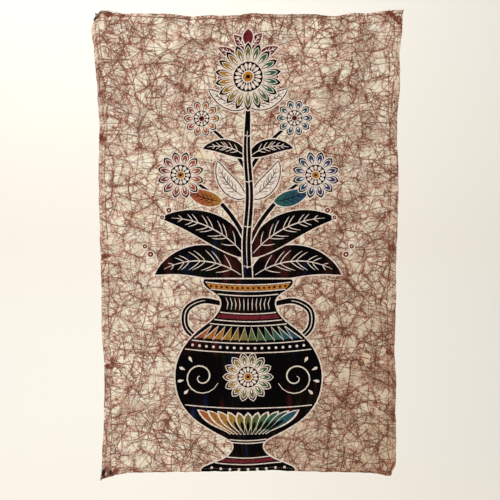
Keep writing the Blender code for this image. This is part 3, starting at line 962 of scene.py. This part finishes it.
def fineMarks(tree, swept, busy, crumpled, cells):
    # stars, straws, and the fans and net of patches where the wax was crumpled small
    marks = []
    for size, turn, seed in crackle["starSets"]:
        spun = addNode(tree, "VectorRotate", {"Vector": swept, "Angle": turn}, **aboutZ)
        star = starCracks(tree, spun, crackle["starCell"] * size, crackle["starRays"] * math.sqrt(size),
                          crackle["starWidth"], crackle["starReach"] * size, seed)
        starShow = addNode(tree, "MapRange", [busy, 0.0, 1.0, strengths["starLeast"], 1.0])
        marks.append(product(tree, star, starShow))
    for number, turn in enumerate(straws):
        straw = straightCracks(tree, swept, crackle["strawGap"] * (1 + 0.15 * number), crackle["strawWidth"],
                               math.radians(turn), 81.7 + 9.1 * number, crackle["strawRun"])[0]
        marks.append(product(tree, straw, strengths["straw"]))
    for number, ((source, channel), spacing) in enumerate(zip(cells, crackle["fanSpacings"])):
        way = addNode(tree, "SeparateColor", [source.outputs["Color"]]).outputs[channel]
        angle = product(tree, way, 2 * math.pi)
        fan = straightCracks(tree, swept, crackle["fanGap"] * spacing, crackle["fanWidth"], angle,
                             50.0 + 3.1 * number, crackle["fanRun"] * spacing)[0]
        marks.append(product(tree, fan, crumpled, strengths["fan"]))
    netPlace = addNode(tree, "Mapping", {"Vector": swept, "Scale": [1 / crackle["netCell"]] * 3})
    netEdge = addNode(tree, "TexVoronoi", {"Vector": netPlace, "Scale": 1.0}, feature="DISTANCE_TO_EDGE",
                      **flatCells)
    netShare = crackle["netWidth"] / crackle["netCell"]
    net = addNode(tree, "MapRange", [netEdge, 0.15 * netShare, 0.85 * netShare, 1.0, 0.0], **smooth)
    return marks + [product(tree, net, crumpled, strengths["net"])]


def bandMarks(tree, place, swept, gaps, crumpled):
    # stretches where the wax came off along a crack or crease, as wide ragged bands
    marks = []
    for gap, kind in zip(gaps, ("main", "small")):
        nearness = addNode(tree, "MapRange", [gap, 0.0, crackle[kind + "Band"], 1.0, 0.0])
        worn = blotches(tree, place, *patches[kind + "Bands"])
        ragged = addNode(tree, "Math", [nearness, worn], operation="ADD")
        marks.append(addNode(tree, "MapRange", [ragged, 1.22, 1.52], **smooth))
    size, seed, *rest = patches["creaseBands"]
    for number, turn in enumerate(creaseBands):
        band = straightCracks(tree, swept, crackle["creaseBandGap"], crackle["creaseBandWidth"],
                              math.radians(turn), 61.3 + 5.7 * number, crackle["creaseBandRun"])[0]
        marks.append(product(tree, band, blotches(tree, place, size, seed + number, *rest)))
    return marks + [product(tree, crumpled, strengths["crumpledBand"])]


def crackMarks(tree, place):
    # how much dye the broken wax let through: in lines, in hairlines, in ragged bands, in knots, as a bleed
    # round them all, and the pale flecks that it left between them
    bent = wandering(tree, place, *wanders["cells"])
    swept = wandering(tree, wandering(tree, place, *wanders["sweep"]), *wanders["tremble"])
    main, mainGap, mainHairs, mainCells = cellCracks(tree, bent, "main", 8, 0.0)
    small, smallGap, smallHairs, smallCells = cellCracks(tree, bent, "small", 30, 4.0)
    # where they show
    spared = product(tree, *aroundSpots(tree, place, crackle["spared"], 1.0))
    crushed = laidOver(tree, aroundSpots(tree, swept, crackle["crushed"], 0.0))
    busy = laidOver(tree, [product(tree, blotches(tree, swept, *patches["busy"]), spared), crushed])
    mainShows = addNode(tree, "MapRange", [blotches(tree, place, *patches["mainCells"]), 0.0, 1.0,
                                           strengths["mainLeast"], 1.0])
    smallShows = product(tree, blotches(tree, place, *patches["smallCells"]), laidOver(tree, [busy, 0.2]))
    creaseShow = addNode(tree, "MapRange", [busy, 0.0, 1.0, strengths["creaseLeast"], 1.0])
    tall = addNode(tree, "Mapping", {"Vector": bent, "Scale": (1.0, 0.55, 1.0)})
    crumpled = product(tree, blotches(tree, tall, *patches["crumpled"]), spared)
    crushedNet = product(tree, crushed, blotches(tree, place, *patches["crushed"]))
    crumpled = laidOver(tree, [crumpled, crushedNet])
    # what each kind of crack gives
    creaseLines, creaseBleeds = creaseMarks(tree, swept, creaseShow)
    lines = [product(tree, main, mainShows),
             product(tree, small, smallShows, strengths["small"])] + creaseLines
    mainHalo, smallHalo = [addNode(tree, "MapRange", [gap, 0.0, crackle[halo], 1.0, 0.0], **smooth)
                           for gap, halo in ((mainGap, "mainHalo"), (smallGap, "smallHalo"))]
    bleeds = [product(tree, mainHalo, mainShows, strengths["mainHalo"]),
              product(tree, smallHalo, smallShows, strengths["smallHalo"])] + creaseBleeds
    fineLines = [product(tree, mainHairs, mainShows, strengths["mainHairs"]),
                 product(tree, smallHairs, smallShows, strengths["smallHairs"])]
    fineLines += fineMarks(tree, swept, busy, crumpled, ((mainCells, 0), (smallCells, 0), (smallCells, 1)))
    bands = bandMarks(tree, place, swept, (mainGap, smallGap), crumpled)
    knots = []
    for cells, low, kind in ((mainCells, 0.64, "mainKnots"), (smallCells, 0.66, "smallKnots")):
        corner = addNode(tree, "MapRange", [cells, low, low + 0.22], **smooth)
        knots.append(product(tree, corner, blotches(tree, place, *patches[kind])))
    lines, fineLines, bands, knots, bleeds = [laidOver(tree, marks) for marks in
                                              (lines, fineLines, bands, knots, bleeds)]
    stained = addNode(tree, "MapRange", [blotches(tree, swept, *patches["stained"]), 0.0, 1.0,
                                         strengths["stainedLeast"], strengths["stainedMost"]])
    flecks = product(tree, blotches(tree, swept, *patches["flecks"]), laidOver(tree, [bands, bleeds]),
                     strengths["fleck"])
    bleeds = laidOver(tree, [bleeds, product(tree, bands, strengths["bandBleed"])])
    return lines, fineLines, product(tree, bands, stained), knots, bleeds, flecks


# The lines at 0 mm lie on the hems' folds: cracks there, and painted shade along the fold as well.
hemCracks = [  # edge, mm in from it, width, strength, seed of its stretches and where they start
    ("side", 0.0, 1.5, 0.40, 5.0, 0.38), ("side", 6.5, 1.1, 0.45, 15.0, 0.38),
    ("looseSide", 15.0, 1.5, 0.80, 9.0, 0.34),
    ("top", 0.0, 1.4, 0.6, 25.0, 0.34), ("top", 6.6, 1.5, 0.9, 35.0, 0.26),
    ("bottom", 0.0, 1.6, 0.7, 45.0, 0.34), ("bottom", 8.0, 1.1, 0.5, 55.0, 0.34),
]


def fromSide(tree, spot):
    # mm in from the nearer side of the cloth
    across = addNode(tree, "Math", [spot], operation="ABSOLUTE")
    return addNode(tree, "Math", [cloth["width"] / 2, across], operation="SUBTRACT")


def edgeCreases(tree, place):
    # cracks that follow the hems, where the waxed cloth was bent over, with painted shade along the folds at
    # the very edges, and the dye that got into the hems
    wobbly = wandering(tree, wandering(tree, place, *wanders["hem"]), *wanders["hemTremble"])
    spot = addNode(tree, "SeparateXYZ", [wobbly])
    looseSpot = addNode(tree, "SeparateXYZ", [wandering(tree, wobbly, *wanders["loose"])])
    inward = {"side": fromSide(tree, spot), "looseSide": fromSide(tree, looseSpot), "bottom": spot.outputs[1],
              "top": addNode(tree, "Math", [cloth["height"], spot.outputs[1]], operation="SUBTRACT")}
    marks = []
    for edge, at, width, strength, seed, low in hemCracks:
        offset = addNode(tree, "Math", [inward[edge], at], operation="SUBTRACT")
        away = addNode(tree, "Math", [offset], operation="ABSOLUTE")
        line = addNode(tree, "MapRange", [away, 0.35 * width, width, 1.0, 0.0], **smooth)
        shows = blotches(tree, place, crackle["hemStretch"], seed, low, low + crackle["hemStretchFade"])
        marks.append(product(tree, line, strength, shows))
    inHem = [addNode(tree, "MapRange", [inward[edge], cloth[hem] - 1.5, cloth[hem] + 1.5, 1.0, 0.0], **smooth)
             for edge, hem in (("side", "sideHem"), ("top", "endHem"), ("bottom", "endHem"))]
    soaked = addNode(tree, "MapRange", [blotches(tree, wobbly, *patches["soakedHem"]), 0.0, 1.0, 0.10, 0.50])
    return laidOver(tree, marks), product(tree, laidOver(tree, inHem), soaked)


weave = {
    "thread": 1.1,   # mm from thread to thread: the real 0.35 mm is too fine to show, so it is drawn coarser
    "slubLength": 34.0, "slubWidth": 1.9,
    "threadHeight": 0.35,                # as a share of the slubs'
    "thinShade": 0.955, "thickShade": 1.03,
    "lift": 0.05, "liftStrength": 0.8,   # mm of bump, and how much of it shows
    "roughness": 0.86, "roughnessSpread": 0.05, "gloss": 0.16, "sheen": 0.08,
}
blackFinish = {"roughness": 0.80, "gloss": 0.02, "sheen": 0.0}   # a vat dye lies deep and kills the nap
handling = {
    "rustEdge": "91543f", "rust": "663024", "sootEdge": "4f2c22", "soot": "190b08",
    # where the mark starts and where it is full, and how much of it shows: for its edge and for its heart
    "edge": (0.28, 0.58, 0.85), "heart": (0.50, 0.95, 0.95),
}


def clothFinish(material, colour, place, surface=weave):
    # plain-weave cotton: matt, with thick and thin threads both ways and a faint nap
    tree = material.node_tree
    spot = addNode(tree, "SeparateXYZ", [place])
    turn = 2 * math.pi / weave["thread"]
    waves = [addNode(tree, "Math", [product(tree, spot.outputs[way], turn)], operation="SINE")
             for way in (0, 1)]
    slubs = []
    for long, wide in ((0, 1), (1, 0)):
        size = [1.0, 1.0, 1.0]
        size[long] = 1 / weave["slubLength"]
        size[wide] = 1 / weave["slubWidth"]
        threads = addNode(tree, "Mapping", {"Vector": place, "Scale": size})
        noise = addNode(tree, "TexNoise", {"Vector": threads, "Scale": 1.0, "Detail": 2.0}, **flatNoise)
        slubs.append(addNode(tree, "MapRange", [noise, 0.30, 0.70, -1.0, 1.0]))
    slub = addNode(tree, "Math", slubs, operation="ADD")
    shade = addNode(tree, "MapRange", [slub, -1.5, 1.5, weave["thinShade"], weave["thickShade"]])
    worn = addNode(tree, "VectorMath", {0: colour, "Scale": shade}, operation="SCALE")
    height = addNode(tree, "Math", [product(tree, *waves), weave["threadHeight"], slub],
                     operation="MULTIPLY_ADD")
    bump = addNode(tree, "Bump", {"Height": height, "Distance": weave["lift"] * mm,
                                  "Strength": weave["liftStrength"]})
    mean, spread = surface["roughness"], weave["roughnessSpread"]
    rough = addNode(tree, "MapRange", [slub, -1.5, 1.5, mean - spread, mean + spread])
    shader = addNode(tree, "BsdfPrincipled", {"Base Color": worn, "Roughness": rough, "Normal": bump,
                                              "IOR": 1.47, "Specular IOR Level": surface["gloss"],
                                              "Sheen Weight": surface["sheen"], "Sheen Roughness": 0.5})
    addNode(tree, "OutputMaterial", {"Surface": shader})


def newMaterial(name):
    material = bpy.data.materials.new(name)
    material.use_nodes = True
    material.node_tree.nodes.clear()
    return material, material.node_tree


def newCloth(name):
    # a material and the place on the flat cloth, in mm, which its pattern follows
    material, tree = newMaterial(name)
    place = addNode(tree, "Attribute", attribute_name="clothPlace").outputs["Vector"]
    return material, tree, place


def handled(tree, place, colour):
    # rust from the pins and grime from fingers, with ragged edges and a darker heart
    ragged = blotches(tree, place, *patches["handled"])
    layers = []
    for kind in ("rust", "soot"):
        amount = addNode(tree, "Attribute", attribute_name=kind).outputs["Fac"]
        lowered = addNode(tree, "Math", [amount, 0.25], operation="SUBTRACT")
        soaked = addNode(tree, "Math", [ragged, 0.5, lowered], operation="MULTIPLY_ADD")
        shown = addNode(tree, "MapRange", [amount, 0.02, 0.2])
        for tone, (low, high, most) in ((kind + "Edge", handling["edge"]), (kind, handling["heart"])):
            mark = addNode(tree, "MapRange", [soaked, low, high, 0.0, most], **smooth)
            layers.append((product(tree, mark, shown), handling[tone]))
    return dyed(tree, colour, layers)


def bathAndShadeDepth(tree, place):
    # painted shade, darker towards the right and the bottom where the light falls off, and partly where the
    # last bath soaked in more
    spot = addNode(tree, "SeparateXYZ", [wandering(tree, place, *wanders["bathAndShade"])])
    across = addNode(tree, "MapRange", [spot, *crackle["bathAndShadeAcross"]])
    down = addNode(tree, "MapRange", [spot.outputs[1], *crackle["bathAndShadeUp"]])
    return product(tree, across, down)


def crackledCotton():
    # cream cotton under broken wax: a web of red-brown cracks with pinkish bleed round them
    material, tree, place = newCloth("crackled_batik_cotton")
    lines, fineLines, bands, knots, bleed, flecks = crackMarks(tree, place)
    # the hem lines hold painted shade along the folds at the edges as well as cracks
    edgeCracksAndFoldShade, hemBleed = edgeCreases(tree, place)
    soft = laidOver(tree, [product(tree, bleed, strengths["bleed"]), hemBleed])
    dark = laidOver(tree, [product(tree, knots, strengths["knot"]),
                           product(tree, edgeCracksAndFoldShade, strengths["edgeKnot"])])
    colour = dyed(tree, linearColour(crackle["clean"]), [
        (blotches(tree, place, *patches["shaded"]), crackle["shaded"]),
        (product(tree, blotches(tree, place, *patches["tan"]), strengths["tan"]), crackle["tan"]),
        (soft, crackle["bleed"]), (bands, crackle["band"]), (flecks, crackle["pinkFleck"]),
        (product(tree, fineLines, strengths["fineLine"]), crackle["fineLine"]),
        (product(tree, laidOver(tree, [lines, edgeCracksAndFoldShade]), strengths["line"]), crackle["line"]),
        (dark, crackle["knot"])])
    # painted shade towards the right and the bottom, with some deeper dye, multiplied over the cotton
    colour = addNode(tree, "MixRGB", [bathAndShadeDepth(tree, place), colour, linearColour(crackle["bathAndShade"])],
                     blend_type="MULTIPLY")
    clothFinish(material, handled(tree, place, colour), place)
    return material


def paintedCotton(name, hexCode, poolHex, pools="dyePools"):
    # one colour of the cotton, with the darker places where dye pooled or crept in
    material, tree, place = newCloth(name)
    colour = dyed(tree, linearColour(hexCode), [(blotches(tree, place, *patches[pools]), poolHex)])
    clothFinish(material, handled(tree, place, colour), place)
    return material


def setRamp(ramp, stops):
    elements = ramp.color_ramp.elements
    while len(elements) < len(stops):
        elements.new(0.5)
    for element, (at, hexCode) in zip(elements, stops):
        element.position = at
        element.color = linearColour(hexCode)


def blackCotton():
    # vat-dyed black over brushed colour, so faint maroon, olive and navy show through in upright strokes
    material, tree, place = newCloth("black_dyed_cotton")
    strokes = addNode(tree, "Mapping", {"Vector": place, "Scale": (1 / 24, 1 / 170, 1)})
    hue = addNode(tree, "TexNoise", {"Vector": strokes, "Scale": 1.0, "Detail": 2.0, "Roughness": 0.4},
                  **flatNoise)
    ramp = addNode(tree, "ValToRGB", [hue])
    setRamp(ramp, [(0.30, "3a1613"), (0.42, "150908"), (0.49, "070505"), (0.55, "1b170a"), (0.60, "070607"),
                   (0.66, "0d0f1c"), (0.76, "191f3d")])
    shows = blotches(tree, place, *patches["showsThrough"])
    colour = addNode(tree, "MixRGB", [shows, linearColour("070505"), ramp])
    clothFinish(material, handled(tree, place, colour), place, blackFinish)
    return material


def brushPaintedCotton():
    # colours brushed side by side and left to run together, from maroon on the left to purple on the right
    material, tree, place = newCloth("brush_painted_cotton")
    spot = addNode(tree, "SeparateXYZ", [wandering(tree, place, *wanders["brushed"])])
    across = addNode(tree, "MapRange", [spot, -190.0, 190.0])
    ramp = addNode(tree, "ValToRGB", [across])
    setRamp(ramp, [(0.0, "561a1c"), (0.12, "93443f"), (0.26, "a3572c"), (0.38, "a97a2b"), (0.50, "67692f"),
                   (0.60, "2f5c3a"), (0.70, "235459"), (0.84, "263864"), (1.0, "432c5c")])
    pools = product(tree, blotches(tree, place, *patches["paintPools"]), 0.45)
    clothFinish(material, handled(tree, place, dyed(tree, ramp, [(pools, "1d1417")])), place)
    return material


def spunThread(name, hexCode, darkHex):
    # spun cotton thread: matt, with the light and dark of its twist
    material, tree = newMaterial(name)
    place = addNode(tree, "TexCoord").outputs["Object"]
    # a twist every 1.1 mm
    twist = addNode(tree, "TexNoise", {"Vector": place, "Scale": 900.0, "Detail": 1.0})
    colour = dyed(tree, linearColour(darkHex), [(twist, hexCode)])
    bump = addNode(tree, "Bump", {"Height": twist, "Distance": 0.05 * mm})
    shader = addNode(tree, "BsdfPrincipled", {"Base Color": colour, "Roughness": 0.8, "Normal": bump,
                                              "IOR": 1.47, "Sheen Weight": 0.2})
    addNode(tree, "OutputMaterial", {"Surface": shader})
    return material


room = {
    "halfWidth": 8.0, "front": -8.0, "wall": 2.6, "floor": -1.6, "cove": 1.0, "top": 6.0,
    "paper": "f2ede2",
    "sky": "f4f6fb", "skyStrength": 0.74,
    "lamps": [  # name, place, aimed at, size, power
        ("window_light", (-1.7, -2.4, 1.0), (0, 0, -0.46), 1.8, 40.0),
        ("wall_light", (-1.0, 0.7, 1.7), (0.0, 2.6, -0.5), 2.4, 36.0),
    ],
}


def makeRoom():
    # pale paper that sweeps from the floor up behind the cloth
    profile = [(room["front"], room["floor"])]
    for step in range(17):
        turn = math.pi / 2 * step / 16
        profile.append((room["wall"] - room["cove"] * (1 - math.sin(turn)),
                        room["floor"] + room["cove"] * (1 - math.cos(turn))))
    profile.append((room["wall"], room["top"]))
    points = [(side * room["halfWidth"], y, z) for y, z in profile for side in (-1, 1)]
    faces = [(2 * at, 2 * at + 1, 2 * at + 3, 2 * at + 2) for at in range(len(profile) - 1)]
    sweep = meshObject("paper_sweep", points, faces)
    paper, tree = newMaterial("pale_paper")   # matt card, with no grain or gloss
    shader = addNode(tree, "BsdfPrincipled", {"Base Color": linearColour(room["paper"]), "Roughness": 0.9})
    addNode(tree, "OutputMaterial", {"Surface": shader})
    sweep.data.materials.append(paper)


def makeLight():
    world = bpy.data.worlds.new("soft_daylight")
    bpy.context.scene.world = world
    world.use_nodes = True
    sky = world.node_tree.nodes["Background"]
    sky.inputs["Color"].default_value = linearColour(room["sky"])
    sky.inputs["Strength"].default_value = room["skyStrength"]
    for name, place, target, size, power in room["lamps"]:
        lamp = bpy.data.lights.new(name, "AREA")
        lamp.size = size
        lamp.energy = power
        light = bpy.data.objects.new(name, lamp)
        light.location = place
        light.rotation_euler = (Vector(target) - light.location).to_track_quat("-Z", "Y").to_euler()
        light.visible_camera = False
        bpy.context.scene.collection.objects.link(light)


view = {"lens": 52.2, "sensor": 36.0, "target": (0.0039, -0.006, -0.4634), "distance": 1.452, "pitch": 4.2}


def makeCamera():
    # in front of the cloth and a little above its middle, looking slightly down
    lens = bpy.data.cameras.new("front_view")
    lens.lens = view["lens"]
    lens.sensor_width = view["sensor"]
    lens.clip_end = 40
    camera = bpy.data.objects.new("front_view", lens)
    pitch = math.radians(view["pitch"])
    outward = Vector((0, -math.cos(pitch), math.sin(pitch)))
    camera.location = Vector(view["target"]) + view["distance"] * outward
    camera.rotation_euler = (math.pi / 2 - pitch, 0, 0)
    bpy.context.scene.collection.objects.link(camera)
    bpy.context.scene.camera = camera
    bpy.context.scene.view_settings.view_transform = "Standard"


makeCamera()
makeRoom()
makeLight()
print("Room, light and camera are set")

drawPlant()
drawVase()
panel = makePanel()
cottons = (
    crackledCotton(),
    paintedCotton("wax_kept_cotton", "e8dccb", "cfae9f", "creptUnderWax"),   # pale, with a little pink
    blackCotton(),
    brushPaintedCotton(),
    paintedCotton("maroon_dyed_cotton", "6b1a20", "401016"),
    paintedCotton("ochre_dyed_cotton", "b8762a", "8a4f1c"),
)
for cotton in cottons:   # in the order of the dyes
    panel.data.materials.append(cotton)
print("Cotton is dyed")

stitches = makeStitches()
stitches.data.materials.append(spunThread("hem_sewing_thread", "cbb497", "a3886c"))
frayed = makeFrayedThreads()
frayed.data.materials.append(spunThread("frayed_cotton_thread", "35201b", "160b09"))

for piece in (panel, stitches, frayed):
    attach(piece, "root")
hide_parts("batik_cloth")
print("Pieces ride with the cloth")
